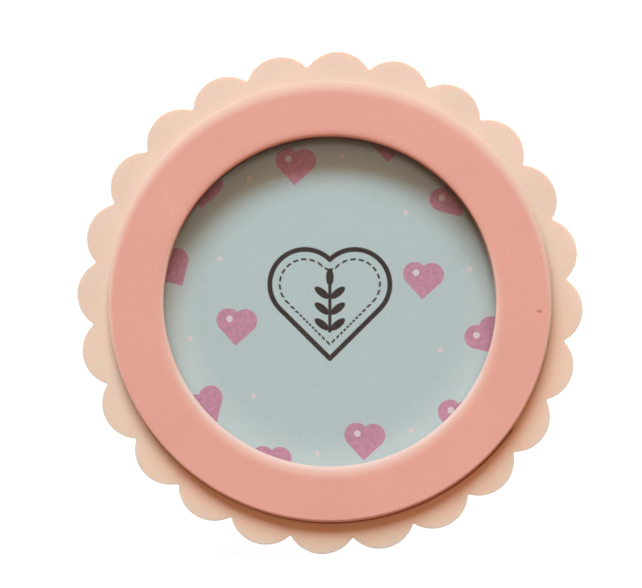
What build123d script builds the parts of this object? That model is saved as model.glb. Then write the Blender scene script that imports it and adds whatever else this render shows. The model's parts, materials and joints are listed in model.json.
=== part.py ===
from build123d import *
import os
from math import cos, radians, sin, tan

# Round photo frame with a scalloped rim, a raised ring round the window and an easel strut behind.
# Every piece is drawn as it lies face down on a bench: X and Y span the face, with Y up the frame and
# the window's centre at 0, and Z is the depth behind the ring's face. The finished frame is then stood
# up: it leans back on its two lowest lobes and the strut's foot, +Z up, its face towards -Y.

# Scalloped rim, in millimetres as all lengths here. A lobe's fullness is its radius over half the spacing.
lobe_count = 24
across_lobes = 152.0
lobe_fullness = 1.262
notch_round = 0.5
rim_thickness = 6.0
rim_front_round = 0.6
rim_back_round = 1.0
rim_draft = 7.0

# Front ring, whose spigot lines the window
window_diameter = 100.0
ring_width = 16.5
ring_height = 3.6
ring_outer_round = 1.4
ring_inner_round = 1.2
spigot_wall = 3.0
spigot_length = 5.4

# Collar behind the rim, and the stack that it holds
seat_width = 5.0
collar_wall = 8.0
collar_round = 1.0
glass_thickness = 2.0
glass_chamfer = 0.3
insert_thickness = 0.3
filler_thickness = 2.7
panel_thickness = 2.6
facing_thickness = 0.4
stack_clearance = 0.5

# Clearances: fixed pieces, turning pieces, flat faces that slide
fit_clearance = 0.03
running_clearance = 0.06
slide_gap = 0.1

# Turn buttons and their screws
button_count = 4
button_first_angle = 45.0
button_reach = 12.0
button_eye_diameter = 9.0
button_tip_diameter = 6.4
button_thickness = 1.0
button_edge_round = 0.25
rib_width = 2.2
rib_height = 0.7
rib_round = 0.6
screw_diameter = 3.0
screw_length = 8.0
screw_point = 1.5
screw_head_diameter = 5.6
screw_head_height = 1.8
screw_head_round = 1.1
screw_end_room = 0.5

# Rivets
rivet_diameter = 2.4
rivet_head_diameter = 4.6
rivet_head_height = 1.0
rivet_flare_diameter = 3.8
rivet_flare_depth = 0.7

# Easel strut and its hinge
lean_angle = 15.0
strut_spread = 29.0
pin_below_edge = 39.5
pin_diameter = 2.0
pin_head_diameter = 3.2
pin_head_length = 0.7
strut_thickness = 2.6
strut_head_width = 22.0
strut_head_rise = 5.0
strut_shoulder_drop = 6.0
strut_foot_width = 38.0
strut_foot_round = 4.0
strut_shoulder_round = 12.0
stop_clearance = 0.05
bracket_thickness = 0.8
bracket_length = 15.0
bracket_lip = 1.0
bracket_bend = 0.4
ear_radius = 3.2
ear_gap = 0.4
bracket_rivet_rise = 10.5
bracket_rivet_spacing = 13.0
strap_thickness = 0.8
strap_width = 14.0
strap_length = 20.0
strap_round = 3.0
strap_rivet_drop = 7.0
strap_rivet_spacing = 8.0

# Hanger
hanger_edge_margin = 1.5
hanger_wire_diameter = 1.6
hanger_width = 16.0
hanger_drop = 13.0
hanger_corner_radius = 2.2
hanger_strap_thickness = 0.6
hanger_strap_width = 7.0
hanger_strap_length = 9.0
hanger_strap_round = 2.0
hanger_rivet_rise = 5.2

# Radii and depths that follow from the sizes above
window_radius = window_diameter / 2
spigot_radius = window_radius + spigot_wall
rebate_radius = spigot_radius + seat_width
stack_radius = rebate_radius - stack_clearance
collar_radius = rebate_radius + collar_wall
button_pivot_radius = rebate_radius + collar_wall / 2
rim_front = ring_height
rim_back = rim_front + rim_thickness
seat_depth = ring_height + spigot_length
insert_depth = seat_depth + glass_thickness
filler_depth = insert_depth + insert_thickness
panel_depth = filler_depth + filler_thickness
facing_depth = panel_depth + panel_thickness
back_depth = facing_depth + facing_thickness

# Hinge line: the pin stands just far enough off the bracket for the strut's heel to pass to the stop
pin_above_centre = stack_radius - pin_below_edge
pin_radius = pin_diameter / 2
knuckle_radius = pin_radius + running_clearance + strap_thickness
heel_drop = strut_thickness + facing_thickness + knuckle_radius
stop_depth = back_depth + bracket_thickness + stop_clearance
pin_depth = stop_depth + heel_drop / cos(radians(strut_spread))
strut_inner_depth = pin_depth - heel_drop
strut_facing_depth = strut_inner_depth + strut_thickness
strut_outer_depth = strut_facing_depth + facing_thickness
pin_axis = Axis((0, pin_above_centre, pin_depth), (1, 0, 0))

# How the frame stands, and how far the strut reaches down to the table
lean = radians(lean_angle)
draft = radians(rim_draft)
half_pitch = 180 / lobe_count
lobe_share = lobe_fullness * sin(radians(half_pitch))
lobe_circle_radius = across_lobes / 2 / (1 + lobe_share)
lobe_radius = across_lobes / 2 - lobe_circle_radius
lobe_inset = rim_back_round / cos(draft) + (rim_thickness - rim_back_round) * tan(draft)
lobe_drop = lobe_circle_radius * cos(radians(half_pitch)) + lobe_radius - lobe_inset
centre_height = lobe_drop * cos(lean) + (rim_back - rim_back_round) * sin(lean) + rim_back_round
pin_height = centre_height + pin_above_centre * cos(lean) - pin_depth * sin(lean)
strut_tilt = radians(strut_spread - lean_angle)
strut_reach = (pin_height - knuckle_radius * sin(strut_tilt)) / cos(strut_tilt)

# Hanger bar, with the strap's end just inside the panel's edge
hanger_above_centre = stack_radius - hanger_edge_margin - hanger_strap_length
hanger_bore = hanger_wire_diameter / 2 + running_clearance
hanger_barrel = hanger_bore + hanger_strap_thickness
hanger_depth = back_depth + hanger_barrel
hanger_axis = Axis((0, hanger_above_centre, hanger_depth), (1, 0, 0))

LOW = (Align.CENTER, Align.CENTER, Align.MIN)
HIGH = (Align.CENTER, Align.CENTER, Align.MAX)


def disc(radius, thickness, depth):
    """A round plate with its front face at the given depth."""
    return Pos(0, 0, depth) * Cylinder(radius, thickness, align=LOW)


def turned(section):
    """Turn a section, drawn as radius across and depth up, about the frame's axis."""
    return revolve(Plane.XZ * section, Axis.Z)


def front_edges(solid):
    """The edges of a solid that lie in its foremost plane."""
    return solid.edges().group_by(Axis.Z)[0]


def back_edges(solid):
    """The edges of a solid that lie in its rearmost plane."""
    return solid.edges().group_by(Axis.Z)[-1]


def front_ring():
    """The raised ring: a flat face with rounded shoulders, and the spigot behind it."""
    flange = Pos(window_radius, 0) * Rectangle(ring_width, ring_height, align=Align.MIN)
    spigot = Pos(window_radius, 0) * Rectangle(spigot_wall, seat_depth, align=Align.MIN)
    section = flange + spigot
    outer_corner = section.vertices().group_by(Axis.Y)[0].sort_by(Axis.X)[-1]
    section = fillet(outer_corner, ring_outer_round)
    inner_corner = section.vertices().group_by(Axis.Y)[0].sort_by(Axis.X)[0]
    return turned(fillet(inner_corner, ring_inner_round))


def scallop_outline():
    """Round lobes side by side on a circle, with a notch straight up and one straight down."""
    lobes = PolarLocations(lobe_circle_radius, lobe_count, 90 + half_pitch)
    outline = Circle(lobe_circle_radius)
    outline += [place * Rot(0, 0, 180) * Circle(lobe_radius) for place in lobes]
    return fillet(outline.vertices(), notch_round)


def button_places():
    """Where the turn buttons pivot on the collar's back, with X pointing outwards."""
    places = PolarLocations(button_pivot_radius, button_count, button_first_angle)
    return [Pos(0, 0, back_depth) * place for place in places]


def scalloped_body():
    """The scalloped rim with its rolled edges, the bore for the spigot and the collar's rebate."""
    rim = Pos(0, 0, rim_front) * extrude(scallop_outline(), rim_thickness, taper=rim_draft)
    rim = fillet(front_edges(rim), rim_front_round)
    rim = fillet(back_edges(rim), rim_back_round)
    collar = disc(collar_radius, back_depth - rim_front, rim_front)
    collar = fillet(back_edges(collar), collar_round)
    body = rim + collar
    body -= disc(spigot_radius + fit_clearance, spigot_length, rim_front)
    body -= disc(rebate_radius, back_depth - seat_depth, seat_depth)
    pilot_depth = screw_length + screw_end_room - button_thickness - 2 * slide_gap
    pilot = Cylinder(screw_diameter / 2 + fit_clearance, pilot_depth, align=HIGH)
    return body - [place * pilot for place in button_places()]


def glass_pane():
    """The pane, with its sharp edges taken off."""
    pane = disc(stack_radius, glass_thickness, seat_depth)
    return chamfer(front_edges(pane) + back_edges(pane), glass_chamfer)


def rivet(grip, gap=0.0):
    """A domed rivet seated at depth 0, its flared tail flush at the far side of what it grips.

    With a gap it is the tool that cuts the rivet's hole.
    """
    shank = rivet_diameter / 2 + gap
    flare = rivet_flare_diameter / 2 + gap
    neck = grip - rivet_flare_depth
    head_edge = rivet_head_diameter / 2
    dome = ThreePointArc(
        (0, rivet_head_height),
        (head_edge * sin(radians(45)), rivet_head_height * cos(radians(45))),
        (head_edge, 0),
    )
    side = Polyline((head_edge, 0), (shank, 0), (shank, -neck), (flare, -grip), (0, -grip), (0, rivet_head_height))
    return turned(make_face(dome + side))


def bracket_rivet_places():
    """Where the bracket is riveted to the panel, above the strut's head."""
    spots = GridLocations(bracket_rivet_spacing, 0, 2, 1)
    rise = pin_above_centre + bracket_rivet_rise
    return [Pos(0, rise, back_depth + bracket_thickness) * spot for spot in spots]


def strap_rivet_places():
    """Where the hinge strap is riveted to the folded strut."""
    top = pin_above_centre - strap_rivet_drop
    depth = strut_outer_depth + strap_thickness
    return [Pos(0, top - drop, depth) for drop in (0, strap_rivet_spacing)]


def hanger_rivet_place():
    """Where the hanger's strap is riveted to the panel."""
    return Pos(0, hanger_above_centre + hanger_rivet_rise, back_depth + hanger_strap_thickness)


bracket_grip = bracket_thickness + facing_thickness + panel_thickness
strap_grip = strap_thickness + facing_thickness + strut_thickness
hanger_grip = hanger_strap_thickness + facing_thickness + panel_thickness


def panel_holes():
    """Tools for the rivet holes in the back panel and its facing."""
    holes = [place * rivet(bracket_grip, fit_clearance) for place in bracket_rivet_places()]
    return holes + [hanger_rivet_place() * rivet(hanger_grip, fit_clearance)]


def along_hinge(radius, length):
    """A round bar on the hinge line, centred on the frame."""
    return pin_axis.location * Cylinder(radius, length)


def hinge_bracket():
    """A bent channel on the panel: a riveted base with side lips, and an ear at each end of the pin."""
    inner_width = strut_head_width + 2 * ear_gap
    outer_width = inner_width + 2 * bracket_thickness
    wall_height = pin_depth + ear_radius - back_depth
    channel = Rectangle(outer_width, wall_height, align=(Align.CENTER, Align.MIN))
    channel -= Pos(0, bracket_thickness) * Rectangle(inner_width, wall_height, align=(Align.CENTER, Align.MIN))
    floor_corners = channel.vertices().group_by(Axis.Y)[1]
    channel = fillet(floor_corners, bracket_bend)
    base_corners = channel.vertices().group_by(Axis.Y)[0]
    channel = fillet(base_corners, bracket_bend + bracket_thickness)
    base_low = pin_above_centre - ear_radius
    base_high = pin_above_centre + bracket_length
    bent = extrude(Plane.XZ * channel, base_low - base_high)
    bent = Pos(0, base_low, back_depth) * bent

    lip_height = bracket_thickness + bracket_lip
    side = Pos(base_low, back_depth) * Rectangle(base_high - base_low, lip_height, align=Align.MIN)
    ear_foot = Pos(base_low, back_depth) * Rectangle(2 * ear_radius, lip_height, align=Align.MIN)
    ear_top = Pos(pin_above_centre, pin_depth) * Circle(ear_radius)
    side += make_hull(ear_foot.edges() + ear_top.edges())
    bracket = bent & extrude(Plane.YZ * side, outer_width / 2, both=True)
    bracket -= along_hinge(pin_radius + fit_clearance, outer_width)
    return bracket - [place * rivet(bracket_grip, fit_clearance) for place in bracket_rivet_places()]


def hinge_pin():
    """The pin, with a peened head outside each ear."""
    ears_width = strut_head_width + 2 * (ear_gap + bracket_thickness)
    heads = along_hinge(pin_head_diameter / 2, ears_width + 2 * pin_head_length)
    heads -= along_hinge(pin_head_diameter, ears_width)
    return heads + along_hinge(pin_radius, ears_width + 2 * pin_head_length)


def rolled_strap(bore, sheet, width, length, corner):
    """A strap rolled round a bar on X through the origin, its tail running down Y below the bar."""
    barrel = bore + sheet
    profile = Circle(barrel) + Pos(0, -barrel) * Rectangle(length, sheet, align=(Align.MAX, Align.MIN))
    strap = extrude(Plane.YZ * (profile - Circle(bore)), width / 2, both=True)
    tail_corners = strap.edges().filter_by(Axis.Z).sort_by(Axis.Y)[:2]
    return fillet(tail_corners, corner)


def opened(folded):
    """Swing a piece of the folded strut out about the hinge pin to its stop."""
    return folded.rotate(pin_axis, -strut_spread)


def strut_outline():
    """The strut's outline: a narrow head between the ears, then straight flared sides to the foot."""
    head = strut_head_width / 2
    foot = strut_foot_width / 2
    top = pin_above_centre + strut_head_rise
    shoulder = pin_above_centre - strut_shoulder_drop
    bottom = pin_above_centre - strut_reach
    right = [(head, top), (head, shoulder), (foot, bottom)]
    left = [(-x, y) for x, y in reversed(right)]
    outline = make_face(Polyline(*right, *left, close=True))
    shoulders = outline.vertices().filter_by_position(Axis.Y, shoulder, shoulder)
    outline = fillet(shoulders, strut_shoulder_round)
    return fillet(outline.vertices().group_by(Axis.Y)[0], strut_foot_round)


def strut_layer(thickness, depth):
    """One layer of the open strut, its head bevelled to bear on the bracket at the stop."""
    layer = Pos(0, 0, depth) * extrude(strut_outline(), thickness)
    layer -= [place * rivet(strap_grip, fit_clearance) for place in strap_rivet_places()]
    return split(opened(layer), Plane.XY.offset(stop_depth), Keep.TOP)


def hinge_strap():
    """The strap that hangs the strut from the pin."""
    bore = pin_radius + running_clearance
    strap = rolled_strap(bore, strap_thickness, strap_width, strap_length, strap_round)
    strap = Pos(0, pin_above_centre, pin_depth) * strap
    strap -= [place * rivet(strap_grip, fit_clearance) for place in strap_rivet_places()]
    return opened(strap)


def turn_button():
    """A pressed steel button, its eye at the origin and its tip towards the window, with a finger rib."""
    eye = Circle(button_eye_diameter / 2)
    tip = Pos(-button_reach, 0) * Circle(button_tip_diameter / 2)
    plate = extrude(make_hull(eye.edges() + tip.edges()), button_thickness)
    plate = fillet(back_edges(plate), button_edge_round)
    rib_start = (screw_head_diameter + rib_width) / 2 + 2 * slide_gap
    rib_run = button_reach - rib_start
    rib = extrude(SlotCenterToCenter(rib_run, rib_width), rib_height + button_thickness / 2)
    rib = fillet(back_edges(rib), rib_round)
    button = plate + Pos(-rib_start - rib_run / 2, 0, button_thickness / 2) * rib
    button -= Cylinder(screw_diameter / 2 + running_clearance, 3 * button_thickness)
    return Pos(0, 0, slide_gap) * button


def button_screw():
    """A pan head screw with a pointed end, seated over a turn button."""
    seat = button_thickness + 2 * slide_gap
    head = fillet(back_edges(Cylinder(screw_head_diameter / 2, screw_head_height, align=LOW)), screw_head_round)
    shank = Cylinder(screw_diameter / 2, screw_length - screw_point, align=HIGH)
    point = Cone(screw_diameter / 2, screw_diameter / 6, screw_point, rotation=(180, 0, 0), align=LOW)
    return Pos(0, 0, seat) * (head + shank + Pos(0, 0, screw_point - screw_length) * point)


def hanger_strap():
    """The strap on the panel that holds the hanger ring's bar."""
    strap = rolled_strap(
        hanger_bore, hanger_strap_thickness, hanger_strap_width, hanger_strap_length, hanger_strap_round
    )
    strap = Pos(0, hanger_above_centre, hanger_depth) * Rot(0, 0, 180) * strap
    return strap - hanger_rivet_place() * rivet(hanger_grip, fit_clearance)


def hanger_ring():
    """A triangle of wire that hangs plumb from its bar when the frame leans back."""
    corners = [(0, 0), (hanger_width / 2, 0), (0, -hanger_drop), (-hanger_width / 2, 0)]
    wire = FilletPolyline(*corners, radius=[0, *[hanger_corner_radius] * 3], close=True)
    ring = sweep(Plane.YZ * Circle(hanger_wire_diameter / 2), wire)
    ring = Pos(0, hanger_above_centre, hanger_depth) * ring
    return ring.rotate(hanger_axis, -lean_angle)


def panel_layer(thickness, depth):
    """One layer of the back panel, with its rivet holes."""
    return disc(stack_radius, thickness, depth) - panel_holes()


def group(solids):
    """Several like fasteners in one node."""
    return Compound(children=[Part() + solid for solid in solids])


pieces = {
    "scalloped_body": scalloped_body(),
    "front_ring": front_ring(),
    "glass_pane": glass_pane(),
    "picture_insert": disc(stack_radius, insert_thickness, insert_depth),
    "filler_board": disc(stack_radius, filler_thickness, filler_depth),
    "back_panel": panel_layer(panel_thickness, panel_depth),
    "panel_facing": panel_layer(facing_thickness, facing_depth),
    "hinge_bracket": hinge_bracket(),
    "hinge_pin": hinge_pin(),
    "bracket_rivets": group([place * rivet(bracket_grip) for place in bracket_rivet_places()]),
    "easel_strut": strut_layer(strut_thickness, strut_inner_depth),
    "strut_facing": strut_layer(facing_thickness, strut_facing_depth),
    "hinge_strap": hinge_strap(),
    "strap_rivets": group([opened(place * rivet(strap_grip)) for place in strap_rivet_places()]),
    "button_screws": group([place * button_screw() for place in button_places()]),
    "hanger_strap": hanger_strap(),
    "hanger_rivet": hanger_rivet_place() * rivet(hanger_grip),
    "hanger_ring": hanger_ring(),
}
for number, place in enumerate(button_places(), 1):
    pieces[f"turn_button_{number}"] = place * turn_button()

# Stand the frame up, cut the strut's foot level with the table and centre the whole on the origin
standing = Plane((0, 0, centre_height), x_dir=(-1, 0, 0), z_dir=(0, cos(lean), -sin(lean)))
upright = {name: standing.location * piece for name, piece in pieces.items()}
for name in ("easel_strut", "strut_facing"):
    upright[name] = split(upright[name], Plane.XY, Keep.TOP)
boxes = [piece.bounding_box() for piece in upright.values()]
middle = (min(box.min.Y for box in boxes) + max(box.max.Y for box in boxes)) / 2

os.makedirs("parts", exist_ok=True)
for name, piece in upright.items():
    export_step(Pos(0, -middle, 0) * piece, f"parts/{name}.step")
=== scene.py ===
"""Dresses the round photo frame: paint, print, glass, flock and plated hardware round the CAD pieces."""
import json
import logging
import math
from dataclasses import dataclass
from enum import Enum
from typing import Any, Callable, Optional, Sequence, Union

import bmesh
import bpy
from mathutils import Matrix, Vector


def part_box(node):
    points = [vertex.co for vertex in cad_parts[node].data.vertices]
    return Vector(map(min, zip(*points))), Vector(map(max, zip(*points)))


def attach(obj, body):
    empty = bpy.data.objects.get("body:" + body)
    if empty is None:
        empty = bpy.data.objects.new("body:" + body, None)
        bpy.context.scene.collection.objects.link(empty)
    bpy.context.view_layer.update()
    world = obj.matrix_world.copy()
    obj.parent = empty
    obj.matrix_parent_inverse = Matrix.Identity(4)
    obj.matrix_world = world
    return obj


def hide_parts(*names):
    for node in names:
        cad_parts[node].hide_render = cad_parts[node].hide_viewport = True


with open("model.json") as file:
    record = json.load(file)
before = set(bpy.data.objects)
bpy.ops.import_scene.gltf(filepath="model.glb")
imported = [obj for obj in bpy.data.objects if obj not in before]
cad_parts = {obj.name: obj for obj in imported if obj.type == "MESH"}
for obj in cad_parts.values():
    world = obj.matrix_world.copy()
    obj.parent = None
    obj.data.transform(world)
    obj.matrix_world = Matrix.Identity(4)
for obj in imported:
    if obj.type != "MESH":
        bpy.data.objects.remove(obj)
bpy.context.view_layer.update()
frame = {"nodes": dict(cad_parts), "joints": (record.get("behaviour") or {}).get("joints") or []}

log = logging.getLogger("photo_frame")
Pair = tuple[float, float]
Triple = tuple[float, float, float]
Colour = Triple
Value = Union["Socket", float]
Material = bpy.types.Material
Points = list[bmesh.types.BMVert]
Edges = list[bmesh.types.BMEdge]
PointTest = Callable[[Vector], bool]
MM = 0.001
TURN = 2.0 * math.pi
AXIS = (0.0, 0.0, 1.0)
ORIGIN = (0.0, 0.0, 0.0)
TOUCH = 1e-6
# Vertex attribute for the painted highlight on edges that face up the picture.
EDGE_HIGHLIGHT = "edge_highlight"
WHITE = (1.0, 1.0, 1.0)


class Slot(Enum):
    """The record's material slots, one for each finish."""

    CORAL = "coral_paint"
    PEACH = "peach_paint"
    GLASS = "clear_glass"
    PRINT = "printed_paper"
    GREYBOARD = "greyboard"
    FIBREBOARD = "fibreboard"
    FLOCK = "flock"
    STEEL = "plated_steel"


def scaled(colour: Colour, factor: float) -> Colour:
    """A colour with each channel multiplied by a factor, and none above 1."""
    return tuple(min(1.0, channel * factor) for channel in colour)


class Socket:
    """A node's output socket that takes part in Python arithmetic by adding Math nodes."""

    def __init__(self, graph: "Graph", output: bpy.types.NodeSocket) -> None:
        """Wrap a graph's output socket."""
        self.graph = graph
        self.output = output

    def maths(self, operation: str, *others: Value, swap: bool = False) -> "Socket":
        """Add a Math node on this value.

        Args:
            operation: The Math node's operation.
            others: Its further operands.
            swap: Put this value second instead of first.

        Returns:
            The node's result.
        """
        operands = [self, *others]
        if swap:
            operands.reverse()
        return self.graph.add("ShaderNodeMath", {"operation": operation}, dict(enumerate(operands)))

    def __add__(self, other: Value) -> "Socket":
        """This value plus another."""
        return self.maths("ADD", other)

    __radd__ = __add__

    def __sub__(self, other: Value) -> "Socket":
        """This value less another."""
        return self.maths("SUBTRACT", other)

    def __rsub__(self, other: Value) -> "Socket":
        """A number less this value."""
        return self.maths("SUBTRACT", other, swap=True)

    def __mul__(self, other: Value) -> "Socket":
        """This value times another."""
        return self.maths("MULTIPLY", other)

    __rmul__ = __mul__

    def __truediv__(self, other: Value) -> "Socket":
        """This value divided by another."""
        return self.maths("DIVIDE", other)

    def __rtruediv__(self, other: Value) -> "Socket":
        """A number divided by this value."""
        return self.maths("DIVIDE", other, swap=True)

    def __mod__(self, period: float) -> "Socket":
        """This value's place within a repeat, never negative."""
        return self.maths("FLOORED_MODULO", period)

    def __rmod__(self, other: float) -> "Socket":
        """A number's place within a repeat of this length, never negative."""
        return self.maths("FLOORED_MODULO", other, swap=True)

    def __gt__(self, other: Value) -> "Socket":
        """One where this value is over another, else zero."""
        return self.maths("GREATER_THAN", other)

    def __lt__(self, other: Value) -> "Socket":
        """One where this value is under another, else zero."""
        return self.maths("LESS_THAN", other)

    def __abs__(self) -> "Socket":
        """The size of this value."""
        return self.maths("ABSOLUTE")

    def ramp(self, low: float, high: float) -> "Socket":
        """Rise smoothly from 0 at low to 1 at high, or fall from 1 where low is above high.

        Args:
            low: Where the result is 0.
            high: Where the result is 1.

        Returns:
            The eased value.
        """
        inputs = {
            "Value": self,
            "From Min": min(low, high),
            "From Max": max(low, high),
            "To Min": float(low > high),
            "To Max": float(high > low),
        }
        return self.graph.add("ShaderNodeMapRange", {"interpolation_type": "SMOOTHSTEP"}, inputs)

    def between(self, low: float, high: float) -> "Socket":
        """A value that is low where this one is 0 and high where it is 1."""
        return low + self * (high - low)

    def blend(self, other: "Socket", share: float) -> "Socket":
        """This value with a share of another mixed in."""
        return self * (1.0 - share) + other * share


def length(across: Socket, rise: Socket) -> Socket:
    """The length of a flat offset."""
    return (across * across + rise * rise).maths("SQRT")


def turned(across: Socket, rise: Socket, angle: float, sense: Value = 1.0) -> tuple[Socket, Socket]:
    """Read a flat place in axes turned by some radians, anticlockwise or, for a sense of -1, clockwise."""
    sine = sense * math.sin(angle)
    return across * math.cos(angle) + rise * sine, rise * math.cos(angle) - across * sine


class Graph:
    """The node graph of one material, or of the world."""

    def __init__(self, tree: bpy.types.NodeTree) -> None:
        """Empty a node tree and take it over."""
        self.tree = tree
        tree.nodes.clear()

    def add(
        self,
        kind: str,
        settings: Optional[dict[str, Any]] = None,
        inputs: Optional[dict[Union[int, str], Any]] = None,
        output: Union[int, str] = 0,
    ) -> Optional[Socket]:
        """Add any node.

        Args:
            kind: The node's type.
            settings: Its properties, which are set first.
            inputs: Values or links for its sockets, by index, identifier or name.
            output: The output to return, by index or name.

        Returns:
            The chosen output, or nothing for a node without one.
        """
        node = self.tree.nodes.new(kind)
        for name, value in (settings or {}).items():
            setattr(node, name, value)
        for key, value in (inputs or {}).items():
            socket = self._input(node, key)
            if isinstance(value, Socket):
                self.tree.links.new(value.output, socket)
            elif socket.type == "RGBA":
                socket.default_value = (*value, 1.0)
            else:
                socket.default_value = value
        return Socket(self, node.outputs[output]) if len(node.outputs) else None

    @staticmethod
    def _input(node: bpy.types.Node, key: Union[int, str]) -> bpy.types.NodeSocket:
        """Find a node's input by index, identifier or name."""
        by_identifier = {socket.identifier: socket for socket in node.inputs}
        return by_identifier[key] if key in by_identifier else node.inputs[key]

    def mix(self, factor: Value, first: Any, second: Any) -> Socket:
        """Blend two colours or links: all of the first at 0, all of the second at 1."""
        inputs = {"Factor_Float": factor, "A_Color": first, "B_Color": second}
        return self.add("ShaderNodeMix", {"data_type": "RGBA"}, inputs, output=2)

    def mottled(self, colour: Colour, pattern: Socket, shades: Pair, tones: Pair = (0.3, 0.7)) -> Socket:
        """A colour that goes from its first shade to its second as a noise rises between two tones."""
        dark, light = (scaled(colour, shade) for shade in shades)
        return self.mix(pattern.ramp(*tones), dark, light)

    def place(self) -> Socket:
        """The point on the piece, in the frame's own coordinates."""
        return self.add("ShaderNodeTexCoord", output="Object")

    def noise(self, scale: float, detail: float = 2.0, stretch: Optional[Triple] = None) -> Socket:
        """Noise from 0 to 1 over the piece.

        Args:
            scale: Features to the metre.
            detail: Octaves.
            stretch: What the place is multiplied by in each direction, for a drawn-out grain.

        Returns:
            The noise value.
        """
        place = self.place()
        if stretch:
            place = self.add("ShaderNodeVectorMath", {"operation": "MULTIPLY"}, {0: place, 1: stretch})
        return self.add("ShaderNodeTexNoise", inputs={"Vector": place, "Scale": scale, "Detail": detail})

    def bump(self, height: Socket, strength: float, distance: float) -> Socket:
        """A normal raised by a height from 0 to 1, where 1 stands for a distance in metres."""
        inputs = {"Height": height, "Strength": strength, "Distance": distance}
        return self.add("ShaderNodeBump", inputs=inputs)

    def ray(self, *kinds: str) -> Socket:
        """One for rays of the named kinds, else zero.

        Args:
            kinds: Such as Camera, Glossy or Transmission.

        Returns:
            The mask.
        """
        masks = [self.add("ShaderNodeLightPath", output=f"Is {kind} Ray") for kind in kinds]
        total = masks[0]
        for mask in masks[1:]:
            total = total.maths("MAXIMUM", mask)
        return total

    def principled(self, **inputs: Any) -> Socket:
        """Add a Principled shader, with its sockets by name and underscores for spaces."""
        named = {key.replace("_", " "): value for key, value in inputs.items()}
        return self.add("ShaderNodeBsdfPrincipled", inputs=named)

    def surface(self, shader: Socket) -> None:
        """Make a shader the material's surface."""
        self.add("ShaderNodeOutputMaterial", inputs={"Surface": shader})


def new_material(name: str) -> tuple[Material, Graph]:
    """Make an empty material.

    Args:
        name: The material's name.

    Returns:
        The material and its graph.
    """
    material = bpy.data.materials.new(name)
    material.use_nodes = True
    return material, Graph(material.node_tree)


@dataclass(frozen=True)
class Face:
    """The leaning face: the window's centre on the ring's front plane, three directions and a roll.

    The roll turns the picture's upright clockwise from the face's own, as the viewer sees it.
    """

    centre: Vector
    right: Vector
    up: Vector
    back: Vector
    roll: float

    @classmethod
    def from_frame(cls, pane_depth: float, roll_deg: float) -> "Face":
        """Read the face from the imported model.

        Args:
            pane_depth: How far the middle of the pane lies behind the ring's front plane.
            roll_deg: How far the picture's upright is turned from the face's own.

        Returns:
            The face.
        """
        low, high = (Vector(corner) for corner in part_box("glass_pane"))
        turn = next(joint for joint in frame["joints"] if joint["name"] == "turn_button_1_turn")
        back = Vector(turn["axis"]).normalized()
        right = Vector((1.0, 0.0, 0.0))
        centre = (low + high) / 2 - back * pane_depth
        return cls(centre, right, right.cross(back), back, math.radians(roll_deg))

    @property
    def picture_right(self) -> Vector:
        """The direction to the right in the photograph."""
        return self.right * math.cos(self.roll) - self.up * math.sin(self.roll)

    @property
    def picture_up(self) -> Vector:
        """The direction upward in the photograph."""
        return self.up * math.cos(self.roll) + self.right * math.sin(self.roll)

    def bench(self) -> Matrix:
        """Stands up a piece that is drawn face down: X to the left, Y up the frame, Z its depth."""
        turn = Matrix((-self.right, self.up, self.back)).transposed().to_4x4()
        return Matrix.Translation(self.centre) @ turn

    def coordinates(self, graph: Graph) -> tuple[Socket, Socket, Socket]:
        """The place on the face in millimetres, upright as in the photograph.

        Args:
            graph: The material's graph.

        Returns:
            The distances to the right of the window's centre, above it, and behind the ring's front plane.
        """
        inputs = {0: graph.place(), 1: tuple(self.centre)}
        offset = graph.add("ShaderNodeVectorMath", {"operation": "SUBTRACT"}, inputs)

        def along(direction: Vector) -> Socket:
            """The offset's length along a direction, in millimetres."""
            operands = {0: offset, 1: tuple(direction / MM)}
            return graph.add("ShaderNodeVectorMath", {"operation": "DOT_PRODUCT"}, operands, output=1)

        return along(self.picture_right), along(self.picture_up), along(self.back)


class Overlay:
    """A colour that is laid over part of the face, by places in millimetres on the picture."""

    colour: Colour

    def mask(self, across: Socket, rise: Socket, depth: Socket) -> Socket:
        """How strongly the colour shows, by the place across, above and behind the window's centre."""
        raise NotImplementedError

    def over(self, base: Socket, place: tuple[Socket, Socket, Socket]) -> Socket:
        """Lay the colour over another, by the place on the face."""
        return base.graph.mix(self.mask(*place), base, self.colour)


@dataclass(frozen=True, kw_only=True)
class PaintedShading(Overlay):
    """Painted light or shade that comes in from one radius to another, towards one side, and with the depth
    if it says so.
    """

    colour: Colour
    radii: Pair
    way: Pair = (0.0, 1.0)
    reach: Pair
    depths: Optional[Pair] = None
    strength: float = 1.0

    def mask(self, across: Socket, rise: Socket, depth: Socket) -> Socket:
        """How strongly the tint shows.

        Args:
            across: The place to the right of the window's centre.
            rise: The place above it.
            depth: The place behind the ring's front plane.

        Returns:
            The mask.
        """
        towards = across * self.way[0] + rise * self.way[1]
        mask = length(across, rise).ramp(*self.radii) * towards.ramp(*self.reach)
        if self.depths:
            mask = mask * depth.ramp(*self.depths)
        return mask * self.strength


@dataclass(frozen=True, kw_only=True)
class Bruise(Overlay):
    """A small dent that shows the darker ground of the paint."""

    across: float
    rise: float
    half_width: float
    half_height: float
    strength: float
    colour: Colour = (0.36, 0.07, 0.06)
    soft_edge: Pair = (1.3, 0.3)

    def mask(self, across: Socket, rise: Socket, depth: Socket) -> Socket:
        """How strongly the bruise shows."""
        reach = length((across - self.across) / self.half_width, (rise - self.rise) / self.half_height)
        return reach.ramp(*self.soft_edge) * self.strength


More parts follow.
